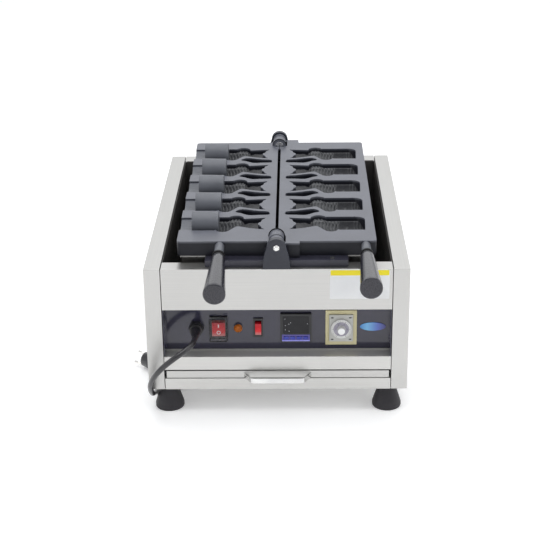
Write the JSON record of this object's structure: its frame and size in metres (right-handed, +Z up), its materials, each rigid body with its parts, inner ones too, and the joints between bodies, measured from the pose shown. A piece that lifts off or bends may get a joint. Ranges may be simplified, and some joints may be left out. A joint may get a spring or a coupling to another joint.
{
  "type": "fish-shaped waffle iron",
  "caption": "Countertop electric iron with two hinged cast mould plates that bake open-mouth fish-shaped cakes over a stainless body with a crumb drawer",
  "frame": {"origin": "on the table below the middle of the object's box, measured without its cord", "axes": "+X to the right of someone who stands at the controls, +Y from the controls to the rear, +Z up"},
  "size_m": [0.4645, 0.7076, 0.3102],
  "materials": {
    "stainless": "brushed stainless sheet",
    "zinc_sheet": "plain zinc-coated sheet",
    "bright_steel": "polished steel",
    "brown_enamel": "dark baked enamel",
    "panel_enamel": "glossy dark enamel",
    "black_enamel": "satin black enamel",
    "coated_casting": "cast, with a satin non-stick coat",
    "heater_sheath": "oxidised heater sheath",
    "grip_plastic": "moulded phenolic",
    "foot_rubber": "matt moulded rubber",
    "black_plastic": "satin black",
    "clear_plastic": "clear moulded cover",
    "red_plastic": "translucent red",
    "amber_plastic": "translucent amber",
    "beige_plastic": "moulded beige",
    "grey_plastic": "moulded grey",
    "white_plastic": "moulded white",
    "blue_plastic": "moulded blue keys",
    "cord_rubber": "black flexible sheath",
    "pin_brass": "plated brass"
  },
  "bodies": {
    "housing": {"left_side_wall": "stainless", "right_side_wall": "stainless", "front_upper_panel": "stainless", "front_lower_panel": "stainless", "control_panel": "panel_enamel", "rear_panel": "stainless", "base_pan": "stainless", "drip_liner": "brown_enamel", "component_tray": "zinc_sheet", "front_crossbar": "black_enamel", "rear_crossbar": "black_enamel", "front_hinge_bracket": "black_enamel", "rear_hinge_bracket": "black_enamel", "hinge_pins": "bright_steel", "pin_rings": "bright_steel", "frame_screws": "bright_steel", "drawer_runners": "zinc_sheet", "feet": "foot_rubber", "foot_bolts": "bright_steel", "power_switch_body": "black_plastic", "power_switch_cover": "clear_plastic", "lamp_body": "bright_steel", "lamp_lens": "amber_plastic", "alarm_switch_body": "black_plastic", "controller_body": "black_plastic", "timer_frame": "beige_plastic", "timer_body": "grey_plastic", "contactor": "grey_plastic", "cable_gland": "black_plastic", "strain_relief": "cord_rubber", "mains_cord": "cord_rubber", "cord_coil": "cord_rubber", "plug_body": "cord_rubber", "plug_pins": "pin_brass"},
    "left_plate": {"left_mould_plate": "coated_casting", "mouth_cores": "coated_casting", "left_plate_screws": "bright_steel", "left_heater": "heater_sheath", "left_heater_cover": "stainless", "left_handle_rod": "coated_casting", "left_ferrule": "black_plastic", "left_grip": "grip_plastic"},
    "right_plate": {"right_mould_plate": "coated_casting", "right_plate_screws": "bright_steel", "right_heater": "heater_sheath", "right_heater_cover": "stainless", "right_handle_rod": "coated_casting", "right_ferrule": "black_plastic", "right_grip": "grip_plastic"},
    "drawer": {"drawer_tray": "stainless", "drawer_pull": "bright_steel"},
    "power_rocker": {"power_rocker": "red_plastic"},
    "alarm_rocker": {"alarm_rocker": "red_plastic"},
    "timer_dial": {"timer_dial": "white_plastic"},
    "controller_key_1": {"controller_key_1": "blue_plastic"},
    "controller_key_2": {"controller_key_2": "blue_plastic"},
    "controller_key_3": {"controller_key_3": "blue_plastic"},
    "controller_key_4": {"controller_key_4": "blue_plastic"}
  },
  "joints": [
    {"name": "left_plate_hinge", "type": "hinge", "parent": "housing", "child": "left_plate", "pos_m": [0, -0.18521, 0.2895], "axis": [0, 1, 0], "range_deg": [0, 180]},
    {"name": "right_plate_hinge", "type": "hinge", "parent": "housing", "child": "right_plate", "pos_m": [0, -0.18521, 0.2895], "axis": [0, -1, 0], "range_deg": [0, 180]},
    {"name": "drawer_slide", "type": "slide", "parent": "housing", "child": "drawer", "axis": [0, -1, 0], "range_m": [0, 0.4]},
    {"name": "power_rocker_tilt", "type": "hinge", "parent": "housing", "child": "power_rocker", "pos_m": [-0.095, -0.18621, 0.1415], "axis": [-1, 0, 0], "range_deg": [0, 16]},
    {"name": "alarm_rocker_tilt", "type": "hinge", "parent": "housing", "child": "alarm_rocker", "pos_m": [-0.031, -0.18621, 0.1415], "axis": [-1, 0, 0], "range_deg": [0, 16]},
    {"name": "timer_dial_turn", "type": "hinge", "parent": "housing", "child": "timer_dial", "pos_m": [0.103, -0.19521, 0.1415], "axis": [0, 1, 0], "range_deg": [0, 300]},
    {"name": "controller_key_1_press", "type": "slide", "parent": "housing", "child": "controller_key_1", "axis": [0, 1, 0], "range_m": [0, 0.0008], "stiffness_N_per_m": 600},
    {"name": "controller_key_2_press", "type": "slide", "parent": "housing", "child": "controller_key_2", "axis": [0, 1, 0], "range_m": [0, 0.0008], "stiffness_N_per_m": 600},
    {"name": "controller_key_3_press", "type": "slide", "parent": "housing", "child": "controller_key_3", "axis": [0, 1, 0], "range_m": [0, 0.0008], "stiffness_N_per_m": 600},
    {"name": "controller_key_4_press", "type": "slide", "parent": "housing", "child": "controller_key_4", "axis": [0, 1, 0], "range_m": [0, 0.0008], "stiffness_N_per_m": 600}
  ]
}
